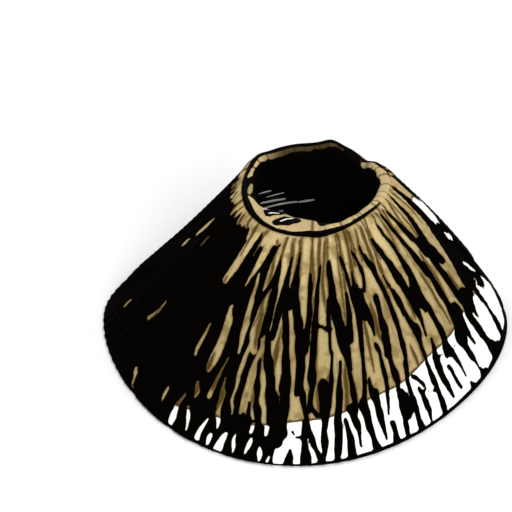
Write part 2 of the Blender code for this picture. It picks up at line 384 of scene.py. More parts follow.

# %% Patches of painted highlight and strokes of painted shade on the right
HIGHLIGHT_PATCHES = (
    (0.19, 0.46, 15.0, 18.0, 18.0, 6.0, 15.0, 12.0),
    (0.20, 0.95, 5.0, 12.0, 9.0, 3.0, 20.0, 17.0),
    (0.56, 0.98, 361.0, 360.0, 357.0, 8.0, 13.0, 12.0),
)
EDGE_SHADE_STROKES = (
    (0.04, 0.25, 12.4, 12.2, 13.2, 4.0, 8.0, 2.5),
    (0.02, 0.22, 19.0, 18.6, 18.8, 2.4, 5.2, 2.4),
    (0.03, 0.30, 24.8, 23.8, 23.0, 2.4, 5.0, 2.0),
    (0.235, 0.52, 17.0, 17.5, 16.5, 8.0, 15.0, 13.0),
    (0.44, 0.84, 15.0, 14.0, 12.0, 14.0, 17.0, 9.0),
    (0.76, 1.00, 12.5, 12.0, 9.0, 7.0, 9.0, 14.0),
    (0.84, 0.97, 9.5, 5.5, -2.0, 3.0, 8.0, 7.0),
)
print("patches and stains:", len(HIGHLIGHT_PATCHES), len(EDGE_SHADE_STROKES))

# %% [markdown]
# The side away from us isn't known, so its grooves are grown by rule, with the habits of the ones in
# front: a first set starts below the lip and forks, a second set starts between them further down,
# and each sways and tapers a little on its own. One seed makes the same shell every time.

# %% Grooves that grow by rule
FAR_SIDE = (20, 150)  # degrees
FAR_SPACING = 6.4
MIDDLE_LENGTH = 0.4  # of a groove of the second set, as a share of the slope
SEED = 5
draw = np.random.default_rng(SEED)


def grow_grooves(first, last, spacing):
    grown = []
    for at in np.arange(first, last, spacing):
        head = at + draw.uniform(-1.2, 1.2)
        lean = draw.uniform(-2.2, 2.2)
        start = draw.uniform(0.05, 0.17)
        middle = draw.uniform(0.42, 0.62)
        wide = draw.uniform(2.0, 3.4)
        grown.append((start, middle, head, head + lean / 2, head + lean, 1.0, wide, 1.2))
        fork = draw.uniform(1.4, 2.6)
        for side in (-1, 1):
            begin = middle - draw.uniform(0.04, 0.16)
            finish = draw.uniform(0.86, 1.02)
            foot = head + lean + side * fork
            wide = draw.uniform(1.2, 2.4)
            grown.append((begin, finish, head + lean, foot, foot + lean / 3, 1.2, wide, 0.8))
        between = head + spacing / 2
        begin = draw.uniform(0.22, 0.45)
        wide = draw.uniform(1.2, 2.4)
        finish = begin + MIDDLE_LENGTH
        grown.append((begin, finish, between, between + lean, between + lean, 0.6, wide, 0.7))
        begin = draw.uniform(0.80, 0.90)
        wide = draw.uniform(1.0, 2.0)
        grown.append((begin, 1.0, between, between, between + lean / 3, 0.6, wide, 1.4))
    return tuple(grown)


far_grooves = grow_grooves(*FAR_SIDE, FAR_SPACING)
print("grooves grown by rule:", len(far_grooves))

# %% [markdown]
# Thin brown lines of painted shade run between the grooves. Some lead a groove's head up to the lip,
# along its furrow. The others are grown by rule, all round the shell. A last rule grows slivers at the
# far edge of the flank's painted shade and on the far side of the painted shade on the right, so that
# neither of them ends as a plain black shape.

# %% Thin brown lines
LEADS_FROM = 0.36  # a groove whose head lies further up than this has a line that leads to it
LEAD_OVERLAP = 0.06  # how far the line runs on into the groove
LINE_SPACING = 9.0  # degrees


def grow_leads(grooves):
    grown = []
    for head, _, at, *_ in grooves:
        if head < LEADS_FROM:
            sway = draw.uniform(-1.0, 1.0)
            wide = draw.uniform(0.7, 1.9)
            top = draw.uniform(-0.01, 0.04)
            finish = head + LEAD_OVERLAP
            grown.append((top, finish, at - sway, at + sway / 2, at, wide / 2, wide, wide))
    return tuple(grown)


def grow_lines():
    grown = []
    for at in np.arange(0, 360, LINE_SPACING):
        head = at + draw.uniform(-2.2, 2.2)
        lean = draw.uniform(-2.6, 2.6)
        finish = draw.uniform(0.16, 0.50)
        wide = draw.uniform(0.8, 1.8)
        top = draw.uniform(-0.01, 0.05)
        grown.append((top, finish, head, head + lean, head + lean / 2, wide, wide, 0.4))
        for between in (at, at + LINE_SPACING / 2):
            begin = draw.uniform(0.24, 0.70)
            finish = begin + draw.uniform(0.14, 0.34)
            head = between + draw.uniform(-2.2, 2.2)
            wide = draw.uniform(0.8, 2.2)
            grown.append((begin, finish, head, head + lean / 3, head + lean / 2, 0.4, wide, 0.4))
    return tuple(grown)


brown_strokes = grow_leads(NEAR_GROOVES + far_grooves) + grow_lines()
print("brown lines:", len(brown_strokes))

# %% Slivers that grow by rule
FAR_PAINTED_SHADE = (138, 149)  # degrees, the far edge of the flank's painted shade
SLIVER_SPACING = 2.4
FAR_EDGE_SHADE_SIDE = (17, 29)  # the far side of the painted shade on the right
EDGE_SHADE_SLIVER_SPACING = 0.7


def grow_slivers(first, last, spacing):
    grown = []
    for at in np.arange(first, last, spacing):
        head = at + draw.uniform(-1.5, 1.5)
        lean = draw.uniform(-1.5, 1.5)
        begin = draw.uniform(0.14, 0.80)
        finish = begin + draw.uniform(0.07, 0.20)
        wide = draw.uniform(1.2, 2.6)
        grown.append((begin, finish, head, head + lean / 2, head + lean, 0.8, wide, 0.8))
    return tuple(grown)


far_slivers = grow_slivers(*FAR_PAINTED_SHADE, SLIVER_SPACING)
far_slivers += grow_slivers(*FAR_EDGE_SHADE_SIDE, EDGE_SHADE_SLIVER_SPACING)
print("slivers grown by rule:", len(far_slivers))

# %% [markdown]
# A stroke's distance is that of a capsule that tapers: half its width here, less the distance to
# its middle line. The join of many strokes is the largest of their distances, and cutting one shape
# out of another takes the smaller of the two with the sign turned round. That is all the drawing
# there is. A little unevenness keeps every edge from looking ruled.

# %% Uneven places on the slope
EDGE_SWAY = 0.28  # degrees
END_SWAY = 0.004  # share of the slope


def ripple(x, y, seed, count=6):
    """Smooth unevenness between about -1 and 1, from a few crossing waves. x and y are the place,
    already multiplied by how quickly it changes, and each seed has waves of its own."""
    pick = np.random.default_rng(seed)
    total = 0
    for _ in range(count):
        pace_x, pace_y = pick.normal(0, 1, 2)
        total = total + np.sin(pace_x * x + pace_y * y + pick.uniform(0, 2 * math.pi))
    return total / math.sqrt(count)


degrees = np.degrees(bearing)[None, :]
swayed_degrees = degrees + EDGE_SWAY * ripple(0.9 * degrees, 26 * share, 21)
swayed_share = share + END_SWAY * ripple(1.3 * degrees, 18 * share, 22)
print("largest sway in degrees:", np.abs(swayed_degrees - degrees).max().round(2))

# %% Distance into a stroke
FAR_OFF = -99.0  # mm
THINNEST = 0.2  # half a stroke's width where it is thinnest, in degrees
HIGHLIGHT_RAGGEDNESS = 0.3  # mm


def through(along, first, middle, last):
    """The smooth curve that passes the three values at the start, the middle and the end."""
    return (
        first * (1 - along) * (1 - 2 * along)
        + middle * 4 * along * (1 - along)
        + last * along * (2 * along - 1)
    )


def inside_strokes(strokes):
    """Millimetres inside the nearest stroke, and less than zero outside them all."""
    deepest = np.full((OUTSIDE_ROWS, COLUMNS), FAR_OFF)
    for start, end, at_start, at_middle, at_end, *widths in strokes:
        along = np.clip((swayed_share - start) / (end - start), 0, 1)
        centre = through(along, at_start, at_middle, at_end)
        half = np.maximum(through(along, *widths) / 2, THINNEST)
        across = (swayed_degrees - centre + 180) % 360 - 180
        beyond = np.maximum(np.maximum(start - swayed_share, swayed_share - end), 0)
        off = np.hypot(across * mm_per_degree, beyond * slope_length)
        deepest = np.maximum(deepest, half * mm_per_degree - off)
    return deepest


grooves = inside_strokes(NEAR_GROOVES + NEW_GROWTH_GROOVES + far_grooves)
slivers = inside_strokes(PALE_SLIVERS + far_slivers)
brown = inside_strokes(brown_strokes)
# worn holds the patches painted white as highlight on the right edge, with ragged edges.
worn = inside_strokes(HIGHLIGHT_PATCHES) + HIGHLIGHT_RAGGEDNESS * ripple(0.5 * degrees, 22 * share, 36)
print("share of the slope in grooves:", (grooves > 0).mean().round(2))

# %% [markdown]
# Three more edges complete the drawing: the painted shade over the left flank, the thin dark line that
# rims the margin, and the groove that sets the lip off from the slope. Where the painted shade ends
# near the hole its edge is jagged, because it follows the heads of the ribs. All three are carved, as
# the grooves are, and the slivers are cut out of the painted shade. The painted shade on the right is
# added to the dark last, so it colours the shell and leaves its relief alone.

# %% Edges of the painted shade, the margin's line and the lip's marks
PAINTED_SHADE_FROM = 139  # degrees
PAINTED_SHADE_FROM_RAGGEDNESS = 5
# Where the flank's painted shade ends towards the front: a share of the slope and a bearing in degrees
PAINTED_SHADE_TO_BY_SHARE = ((0.0, 250.0), (0.80, 250.4), (0.86, 261.8), (1.0, 261.8))
PAINTED_SHADE_TOP = 0.075  # share of the slope
PAINTED_SHADE_TOP_RAGGEDNESS = 0.022
MARGIN_RAGGEDNESS = 0.13  # mm, as the next two are
HOLE_SHADE_RAGGEDNESS = 0.08
LIP_LINE_RAGGEDNESS = 0.06
# The line along the margin: a bearing in degrees and the line's width in mm
MARGIN_LINE = (
    (0, 1.00),
    (14, 0.80),
    (28, 0.35),
    (130, 0.35),
    (262, 0.30),
    (285, 0.38),
    (300, 0.55),
    (322, 0.50),
    (338, 0.50),
    (346, 1.10),
    (360, 1.00),
)
# Round the lip: a bearing in degrees, then in mm how far the dark line reaches down the slope and in
# over the lip, and how far in from the edge the hole's painted shade starts
LIP_MARKS = (
    (0, -0.30, -0.30, 1.25),
    (9, -0.10, -0.10, 1.30),
    (14, 0.35, 0.20, 1.35),
    (22, 0.30, 0.75, 1.45),
    (37, 0.20, 0.90, 1.60),
    (42, 0.10, 0.95, 1.40),
    (48, 0.10, 0.80, 0.60),
    (58, 0.10, 0.80, 0.60),
    (63, 0.10, 1.00, 1.25),
    (90, 0.10, 1.13, 1.53),
    (130, 0.10, 1.06, 1.55),
    (151, 0.15, 0.84, 1.32),
    (163, 0.20, 0.45, 0.95),
    (170, 0.30, 0.35, 0.20),
    (186, 0.35, 0.40, 0.20),
    (191, 0.35, 0.45, 0.70),
    (198, 0.40, 0.50, 1.10),
    (208, 0.40, 0.45, 2.00),
    (214, 0.35, 0.40, 1.90),
    (224, 0.30, 0.30, 1.10),
    (228, 0.30, 0.30, 1.70),
    (231, 0.30, 0.30, 4.60),
    (240, 0.25, 0.25, 4.60),
    (253, 0.28, 0.30, 4.60),
    (266, 0.34, 0.55, 4.60),
    (271, 0.50, 0.45, 3.40),
    (276, 0.52, 0.40, 1.25),
    (286, 0.42, 0.25, 1.15),
    (300, 0.24, 0.15, 1.60),
    (317, 0.10, 0.38, 1.60),
    (333, 0.05, 0.22, 1.60),
    (342, -0.20, -0.20, 1.60),
    (360, -0.30, -0.30, 1.25),
)
print("bearings with marks of the lip:", len(LIP_MARKS))

# %% The flank's painted shade, the margin's line and the lip's groove
painted_shade_to = np.interp(share, *zip(*PAINTED_SHADE_TO_BY_SHARE))
painted_shade_top = PAINTED_SHADE_TOP + PAINTED_SHADE_TOP_RAGGEDNESS * ripple(1.1 * degrees, 0, 31, 3)
painted_shade_from = PAINTED_SHADE_FROM + PAINTED_SHADE_FROM_RAGGEDNESS * ripple(0, 9 * share, 32, 4)
painted_shade = (swayed_degrees - painted_shade_from) * mm_per_degree
painted_shade = np.minimum(painted_shade, (painted_shade_to - swayed_degrees) * mm_per_degree)
painted_shade = np.minimum(painted_shade, (swayed_share - painted_shade_top) * slope_length)

margin_width = np.interp(degrees, *zip(*MARGIN_LINE))
margin_width = margin_width + MARGIN_RAGGEDNESS * ripple(0.35 * degrees, 0, 33, 4)
margin_line = margin_width - (1 - share) * slope_length
mark_bearings, *measures = np.array(LIP_MARKS).T
line_down, line_in, shade_in = (np.interp(degrees, mark_bearings, mm) for mm in measures)
shade_in = shade_in + HOLE_SHADE_RAGGEDNESS * ripple(0.26 * degrees, 0, 35)
line_down = line_down + LIP_LINE_RAGGEDNESS * ripple(0.12 * degrees, 0, 34, 4)
lip_line = line_down - share * slope_length

carved = np.minimum(np.maximum(grooves, painted_shade), -slivers)
carved = np.maximum(carved, np.maximum(margin_line, lip_line))
edge_shade = np.minimum(inside_strokes(EDGE_SHADE_STROKES), -slivers)
dark = np.maximum(carved, edge_shade)
print("share of the slope that is dark:", (dark > 0).mean().round(2))

# %% [markdown]
# ## Relief
#
# Now the marks become form. Grooves are cut in, crests swell between them, and under the painted shade
# of the left flank, where no groove was drawn, plain ribs run down, twice as many at the margin as at
# the lip. Across all of them lie growth rings, and one old resting line where the shell stopped growing
# for a season: beyond it the new growth is pale and a little thinner, so it leaves a ledge.

# %% Measures of the relief
GROOVE_DEPTH = 0.34  # mm, as the lengths below are
GROOVE_SHOULDER = 0.22
CREST_RISE = 0.24
CREST_SHOULDER = 0.55
FLANK_RIBS = 52
FLANK_RIB_RELIEF = 0.29
FLANK_RIB_SHARPNESS = 1.3  # 2 is a plain wave, and less makes the crests sharper
FLANK_RIB_SWAY = 0.5  # radians of a rib's own wave
FLANK_RIB_SWELL = 0.35  # how much the relief comes and goes, as a share of it
SECOND_RIBS = (0.25, 0.70)  # shares of the slope where the second ribs start and are full
FLAT_RIBS = (0.8, 1.0)  # and where all ribs begin to flatten and are flattest
FLATTEST = 0.5
PAINTED_SHADE_EDGE = (0.2, 1.2)  # mm inside the flank's painted shade where its ribs start and are full
SLIVER_EDGE = (-0.6, 0.0)  # and mm outside a sliver, so they end a little way inside it
RING_RELIEF = 0.035
RINGS = 26
RING_SWAY = 0.012  # share of the slope
RING_SWELL = 0.4
GROWTH_STEP = 0.28
GROWTH_STEP_REACH = 0.35  # on each side of the line
GROWTH_STEP_AT = 0.81  # share of the slope, as the next two are
GROWTH_STEP_SHIFT = 0.10
GROWTH_LATE = 0.095  # how much later the step comes on the near left
GROWTH_LATE_AT = math.radians(212)
GROWTH_LATE_SPREAD = math.radians(14)
GROWTH_RAGGEDNESS = 0.006
LIP_CALM = (0.035, 0.25)  # above this share of the slope the relief fades, to this part at the lip

late_growth = np.exp(-((turn_from(bearing, GROWTH_LATE_AT) / GROWTH_LATE_SPREAD) ** 2))
growth_line = GROWTH_STEP_AT - GROWTH_STEP_SHIFT * np.cos(bearing) + GROWTH_LATE * late_growth
growth_line = growth_line + GROWTH_RAGGEDNESS * ripple(0.2 * degrees, 0, 41, 4)
new_growth = (share - growth_line) * slope_length
print("share of the slope where growth rested:", growth_line.min().round(2), growth_line.max().round(2))

# %% Relief of the outside
def groove_relief(depth_inside):
    cut = GROOVE_DEPTH * (1 - np.exp(-np.clip(depth_inside, 0, None) / GROOVE_SHOULDER))
    rise = CREST_RISE * (1 - np.exp(-np.clip(-depth_inside, 0, None) / CREST_SHOULDER))
    return rise - cut


def flank_ribs():
    sway = FLANK_RIB_SWAY * ripple(0.05 * degrees, 2.5 * share, 42)
    turn = FLANK_RIBS * np.radians(degrees) + sway
    mix = smooth_step(*SECOND_RIBS, share)
    first = 1 - 2 * np.abs(np.sin(turn / 2)) ** FLANK_RIB_SHARPNESS
    second = 1 - 2 * np.abs(np.sin(turn)) ** FLANK_RIB_SHARPNESS
    swell = 1 + FLANK_RIB_SWELL * ripple(0.35 * degrees, 5 * share, 43)
    flattened = 1 - (1 - FLATTEST) * smooth_step(*FLAT_RIBS, share)
    height = FLANK_RIB_RELIEF / 2 * (0.5 + share) * flattened
    return height * swell * ((1 - mix) * first + mix * second)


under_painted_shade = smooth_step(*PAINTED_SHADE_EDGE, np.minimum(painted_shade, -slivers))
under_painted_shade = under_painted_shade * smooth_step(*SLIVER_EDGE, -slivers)
ring_share = share + RING_SWAY * ripple(0.12 * degrees, 4 * share, 44)
ring_waves = np.sin(2 * math.pi * RINGS * ring_share)
relief = (1 - under_painted_shade) * groove_relief(carved) + under_painted_shade * flank_ribs()
ring_swell = 1 - RING_SWELL + RING_SWELL * ripple(0.2 * degrees, 6 * share, 45)
relief += RING_RELIEF * ring_waves * ring_swell
relief -= GROWTH_STEP * smooth_step(-GROWTH_STEP_REACH, GROWTH_STEP_REACH, new_growth)
calm_share, calm_relief = LIP_CALM
relief *= smooth_step(0.0, calm_share, share) * (1 - calm_relief) + calm_relief
print("relief in mm, lowest and highest:", relief.min().round(2), relief.max().round(2))

# %% [markdown]
# ## The rest of the section
#
# The lip is a callus, a rounded swelling that the animal laid down around its hole, broad and
# bevelled on the near left and narrow elsewhere. Its section is a short list of steps inwards and
# up. Below it the wall of the hole drops into the hollow, whose surface follows the outside at the
# wall's thickness, and ends at the flat ring that the shell stands on.

# %% Lip and hole
SMALL_LUMPS = 0.07  # mm
LUMP_SHIFT = 0.35  # how far a lump also leans inwards, against its height
# Each step is the share of the way from the lip's edge to the hole, and the rise in mm
LIP_STEPS = (
    (0.06, 0.13),
    (0.20, 0.27),
    (0.38, 0.30),
    (0.58, 0.26),
    (0.78, 0.13),
    (0.92, -0.06),
    (1.00, -0.30),
    (1.07, -0.95),
    (1.10, -1.80),
    (1.02, -3.40),
)


def lip_rows():
    outer = np.stack(lip_outline(bearing), axis=-1)
    hole = np.stack(hole_outline(bearing), axis=-1)
    top = lip_height(bearing, outer[:, 0])
    rows = []
    for inwards, rise in LIP_STEPS:
        lumps = SMALL_LUMPS * ripple(0.25 * np.degrees(bearing), 7 * inwards, 51)
        lumps = lumps * math.sin(2.6 * inwards)
        plan = outer + (hole - outer) * (inwards + LUMP_SHIFT * lumps)[:, None]
        rows.append(np.column_stack((plan, top + (rise + lumps) * MM)))
    return np.array(rows)


lip = lip_rows()
print("lip rows:", len(lip), "highest point in mm:", (lip[..., 2].max() / MM).round(2))

# %% Inside and foot
INSIDE_SHARES = (0.10, 0.16, 0.22, 0.29, 0.36, 0.43, 0.50, 0.57, 0.65, 0.73, 0.81, 0.88, 0.94)
FOOT_INSET = 0.42 * MM
FOOT_CORNER = (0.24 * MM, 0.22 * MM)  # outwards and up, part of the way round its outer edge
LOWEST_OUTSIDE = 0.3 * MM  # no relief pushes the outside below this height
SCAR_DEPTH = 0.10 * MM
SCAR_FROM, SCAR_TO = 0.36, 0.58  # shares of the slope that the muscle scar spans
SCAR_SLOPE = (0.05, 0.03)  # how far its edges slope outwards and inwards
SCAR_GAP = (0.35, 0.60)  # radians from the middle of the short side, where the scar is open
inside_share = np.array(INSIDE_SHARES)[:, None]


def inside_rows():
    inner = slope(bearing, inside_share)
    wall = WALL_AT_LIP + (WALL_AT_MARGIN - WALL_AT_LIP) * inside_share
    out, back_in = SCAR_SLOPE
    scar = smooth_step(SCAR_FROM - out, SCAR_FROM + back_in, inside_share)
    scar = scar * smooth_step(SCAR_TO + out, SCAR_TO - back_in, inside_share)
    scar = scar * smooth_step(*SCAR_GAP, np.abs(turn_from(bearing, math.pi / 2)))
    wall = wall - SCAR_DEPTH * scar
    return inner - outward(inner) * wall[..., None]


def foot_rows(edge_relief):
    """The inner edge of the flat ring, its outer edge, and the rounding up to the margin."""
    margin = np.stack(margin_outline(bearing), axis=-1)
    reach = np.linalg.norm(margin, axis=-1)
    inner_inset = np.full(COLUMNS, WALL_AT_MARGIN + FOOT_ROUNDING)
    outer_inset = FOOT_INSET - edge_relief
    outwards, upwards = FOOT_CORNER
    rows = []
    for inset, height in ((inner_inset, 0), (outer_inset, 0), (outer_inset - outwards, upwards)):
        plan = margin * (1 - inset / reach)[:, None]
        rows.append(np.column_stack((plan, np.full(COLUMNS, height))))
    return np.array(rows)


outside = smooth + smooth_normal * (relief * MM)[..., None]
outside[..., 2] = np.maximum(outside[..., 2], LOWEST_OUTSIDE)
inside = inside_rows()
foot = foot_rows(relief[0] * MM)
print("rows of the inside and the foot:", len(inside) + len(foot))

# %% [markdown]
# ## What each point remembers
#
# Besides its place, each point of the mesh carries a few numbers for the materials. `dark` is the
# distance into the dark marks, most of them painted shade, and `new_growth` the distance past the
# resting line, both in millimetres. The patches of painted highlight count as new growth, since both
# show the same white. `grain` is a place in a straightened-out shell, round and down, so that a pattern
# laid along it runs with the ribs and has no seam. Stored numbers are chosen over painted ones because
# they stay sharp and cost nothing to change.

# %% Painted shade of the lip and of the inside
HOLE_WALL_FROM = 7  # the step of the lip where the hole's wall begins, which is painted with shade all over
HOLE_WALL_SHADE = 0.4  # mm
INSIDE_SHADE_TO = 0.62  # share of the slope down to which the hollow is painted with shade
INSIDE_SHADE_RAGGEDNESS = 0.03
FAR_SHADE = 0.36  # how much further the painted shade reaches on the short side
FAR_SHADE_SPREAD = 0.95  # radians
RAY_LENGTH = 0.143  # share of the slope
RAY_UNEVENNESS = 0.052
RAY_THINNING = 0.12  # mm that a ray is narrower than its groove, on each side
FOOT_FOLLOWS, RAYS_FOLLOW = 2, 4  # rows of the outside, from the margin up, whose dark they repeat

steps_in = np.array([step[0] for step in LIP_STEPS])[:, None]
on_wall = np.arange(len(LIP_STEPS))[:, None] >= HOLE_WALL_FROM
mm_in = steps_in * lip_width(bearing) / MM
lip_dark = np.maximum(mm_in - shade_in, line_in - mm_in)
lip_dark = np.where(on_wall, np.maximum(lip_dark, HOLE_WALL_SHADE), lip_dark)

far_bell = np.exp(-((turn_from(bearing, math.pi / 2) / FAR_SHADE_SPREAD) ** 4))
shade_to = INSIDE_SHADE_TO + FAR_SHADE * far_bell
shade_to = shade_to + INSIDE_SHADE_RAGGEDNESS * ripple(0.12 * degrees, 0, 62, 5)
inside_dark = (shade_to - inside_share) * slope_length
ray_length = RAY_LENGTH + RAY_UNEVENNESS * ripple(0.9 * degrees, 0, 63, 4)
ray = (inside_share - 1 + ray_length) * slope_length
inside_ray = np.minimum(ray, dark[RAYS_FOLLOW] - RAY_THINNING)
# At the lip this is the hole's painted shade.
print("stain at the lip in mm, lowest and highest:", lip_dark.min().round(2), lip_dark.max().round(2))

# %% [markdown]
# ## The mesh
#
# The rows are joined in the order of the section, the last one to the first, and each point gets
# its numbers as attributes. Three materials share the mesh: the ribbed outside, the lip with the
# hole, and the smooth inside with the foot.

# %% Join the rows into one closed skin
rows = np.concatenate((outside, lip, inside, foot))
rows[..., :2] -= PLAN_CENTRE
row_count = len(rows)


def ring_faces(count, columns):
    row, column = np.meshgrid(np.arange(count), np.arange(columns), indexing="ij")
    next_row = (row + 1) % count
    next_column = (column + 1) % columns
    corners = (
        row * columns + column,
        row * columns + next_column,
        next_row * columns + next_column,
        next_row * columns + column,
    )
    return np.stack(corners, axis=-1).reshape(-1, 4)


mesh = bpy.data.meshes.new("shell_skin")
mesh.from_pydata(rows.reshape(-1, 3), [], ring_faces(row_count, COLUMNS))
mesh.shade_smooth()
print("quads:", len(mesh.polygons))

# %% Store the numbers on the points
NOT_HERE = -9  # mm, for a mark that a part of the shell doesn't have
ALL_NEW = 3  # mm past the resting line, for the foot
LINE_GAIN = 0.02  # mm that a brown line gains where it crosses the lip
LIP_DOWN = -0.12  # the lip's place in the straightened-out shell, above the slope's 0
INSIDE_DOWN = 0.05

lip_from = OUTSIDE_ROWS
inside_from = OUTSIDE_ROWS + len(lip)
foot_from = inside_from + len(inside)


def per_point(outside_value, lip_value, inside_value, foot_value):
    parts = (
        (outside_value, OUTSIDE_ROWS),
        (lip_value, len(lip)),
        (inside_value, len(inside)),
        (foot_value, len(foot)),
    )
    return np.concatenate([np.broadcast_to(value, (count, COLUMNS)) for value, count in parts])


def store(name, values):
    attribute = mesh.attributes.new(name, "FLOAT", "POINT")
    attribute.data.foreach_set("value", values.astype(np.float32).ravel())


def store_place(name, values):
    attribute = mesh.attributes.new(name, "FLOAT_VECTOR", "POINT")
    attribute.data.foreach_set("vector", values.astype(np.float32).ravel())


section_share = per_point(share, LIP_DOWN * steps_in, INSIDE_DOWN + inside_share, 1.0)
round_x = np.broadcast_to(np.cos(bearing), section_share.shape)
round_y = np.broadcast_to(np.sin(bearing), section_share.shape)
store("dark", per_point(dark, lip_dark, inside_dark, dark[FOOT_FOLLOWS]))
store("ray", per_point(NOT_HERE, NOT_HERE, inside_ray, dark[FOOT_FOLLOWS]))
store("brown", per_point(brown, brown[-1] + LINE_GAIN, NOT_HERE, NOT_HERE))
# new_growth also holds the patches of painted highlight on the right.
store("new_growth", per_point(np.maximum(new_growth, worn), NOT_HERE, NOT_HERE, ALL_NEW))
store("down", section_share)
store_place("grain", np.stack((round_x, round_y, section_share), axis=-1))
print("attributes:", [a.name for a in mesh.attributes if not a.name.startswith(".")])

# %% [markdown]
# ## Patterns that the materials share
#
# A shell's finishes have effects in common: streaks that run with the ribs, stains with an edge that
# frays a little, growth rings, and the pits that sand and small borers leave. Each one is a node
# group, built once and placed in every material that shows it, with values of its own. Copying the
# nodes into each material would look the same, but a change would then have to be made three times.

# %% Helpers for nodes
def node(tree, kind, inputs=(), **settings):
    """A new node. An input is either a value or the output that feeds it."""
    made = tree.nodes.new(kind)
    for name, value in settings.items():
        setattr(made, name, value)
    for name, value in dict(inputs).items():
        if isinstance(value, bpy.types.NodeSocket):
            tree.links.new(value, made.inputs[name])
        else:
            made.inputs[name].default_value = value
    return made


def calculate(tree, operation, *values):
    return node(tree, "ShaderNodeMath", enumerate(values), operation=operation).outputs[0]


def fade(tree, value, start, end, low=0.0, high=1.0):
    """low at start, high at end, and a smooth change between them."""
    inputs = {"Value": value, "From Min": start, "From Max": end, "To Min": low, "To Max": high}
    made = node(tree, "ShaderNodeMapRange", inputs, interpolation_type="SMOOTHSTEP")
    return made.outputs["Result"]


def stored(tree, name, output="Fac"):
    return node(tree, "ShaderNodeAttribute", attribute_name=name).outputs[output]


def object_place(tree):
    return node(tree, "ShaderNodeTexCoord").outputs["Object"]


def noise(tree, where, scale, detail=3.0, roughness=0.55):
    inputs = {"Vector": where, "Scale": scale, "Detail": detail, "Roughness": roughness}
    return node(tree, "ShaderNodeTexNoise", inputs).outputs["Fac"]


def new_group(name, inputs, outputs):
    """An empty node group, with its inputs' names and first values, and its outputs' names."""
    group = bpy.data.node_groups.new(name, "ShaderNodeTree")
    for label, value in inputs.items():
        kind = "NodeSocketVector" if isinstance(value, tuple) else "NodeSocketFloat"
        socket = group.interface.new_socket(label, in_out="INPUT", socket_type=kind)
        socket.default_value = value
    for label in outputs:
        group.interface.new_socket(label, in_out="OUTPUT", socket_type="NodeSocketFloat")
    given = group.nodes.new("NodeGroupInput").outputs
    result = group.nodes.new("NodeGroupOutput").inputs
    return group, given, result


def place(tree, group, inputs):
    """The outputs of a group placed in a material, with the material's own values."""
    return node(tree, "ShaderNodeGroup", inputs, node_tree=group).outputs


# %% [markdown]
# Streaks are plain noise, stretched. The noise reads the straightened-out place that each point
# remembers, so streaks fan out with the ribs and narrow towards the hole, as they do on the shell.

# %% Streaks along the ribs
streaks, given, result = new_group("rib streaks", {"Round": 20.0, "Down": 2.0}, ["Value"])
paces = {0: given["Round"], 1: given["Round"], 2: given["Down"]}
stretch = node(streaks, "ShaderNodeCombineXYZ", paces).outputs[0]
both = {0: stored(streaks, "grain", "Vector"), 1: stretch}
stretched = node(streaks, "ShaderNodeVectorMath", both, operation="MULTIPLY").outputs[0]
streaks.links.new(noise(streaks, stretched, 1.0, detail=4.0), result["Value"])


def rib_streaks(tree, around, down):
    """Streaks that are as close together as the two numbers say, round the shell and down it."""
    return place(tree, streaks, {"Round": around, "Down": down})["Value"]


print("group:", streaks.name)

# %% [markdown]
# A stain's edge on chalk isn't a drawn line. It soaks a little way and frays between the grains. This
# group turns a distance into a mask, with the edge moved to and fro by fine noise, and it gives the
# same edge to the painted shade and the painted highlights. Distances are in millimetres, like those in
# the mesh.

# %% Edge of a stain
PER_METRE = 1000.0  # noise scales are for metres, so features of 1 mm need a scale of 1000

edge_inputs = {"Depth": 0.0, "Softness": 0.05, "Fraying": 0.05, "Size": 0.5}
edge, given, result = new_group("stain edge", edge_inputs, ["Mask"])
fineness = calculate(edge, "DIVIDE", PER_METRE, given["Size"])
centred = calculate(edge, "SUBTRACT", noise(edge, object_place(edge), fineness), 0.5)
swing = calculate(edge, "MULTIPLY", given["Fraying"], 2.0)
frayed = calculate(edge, "MULTIPLY_ADD", centred, swing, given["Depth"])
below = calculate(edge, "MULTIPLY", given["Softness"], -1.0)
edge.links.new(fade(edge, frayed, below, given["Softness"]), result["Mask"])


def stain(tree, depth, softness, fraying, size=0.5, spread=0.0):
    """A mask that is 1 inside the mark and 0 outside. spread moves its edge outwards, in mm."""
    if spread:
        depth = calculate(tree, "ADD", depth, spread)
    inputs = {"Depth": depth, "Softness": softness, "Fraying": fraying, "Size": size}
    return place(tree, edge, inputs)["Mask"]


print("group:", edge.name)

# %% [markdown]
# Growth rings are the fine steps that the edge of the shell left as it grew. A wave down the slope
# makes them, pushed about by noise so that they bunch and fade. Raising the wave to a power thins
# its crests into lines.

# %% Growth rings
PUSH_SCALE = 5.0
LINE_THINNING = 6.0

ring_inputs = {"Rings": 60.0, "Unevenness": 1.5}
growth_rings, given, result = new_group("growth rings", ring_inputs, ["Height", "Line"])
uneven = noise(growth_rings, stored(growth_rings, "grain", "Vector"), PUSH_SCALE)
push = calculate(growth_rings, "SUBTRACT", uneven, 0.5)
push = calculate(growth_rings, "MULTIPLY", push, given["Unevenness"])
turns = calculate(growth_rings, "MULTIPLY_ADD", stored(growth_rings, "down"), given["Rings"], push)
wave = calculate(growth_rings, "SINE", calculate(growth_rings, "MULTIPLY", turns, 2 * math.pi))
ring_height = calculate(growth_rings, "MULTIPLY_ADD", wave, 0.5, 0.5)
ring_line = calculate(growth_rings, "POWER", ring_height, LINE_THINNING)
growth_rings.links.new(ring_height, result["Height"])
growth_rings.links.new(ring_line, result["Line"])
print("group:", growth_rings.name)

# %% [markdown]
# Pits are cells of a Voronoi pattern, kept only near each cell's middle and only where a second,
# slower noise is high, so that they come in patches.

# %% Pits
PIT_RIM, PIT_FLOOR = 0.34, 0.16  # distances from a cell's middle, in cells
PATCH_SCALE = 0.12  # the scale of the patches' noise, against that of the cells
PATCH_EDGE = 0.1

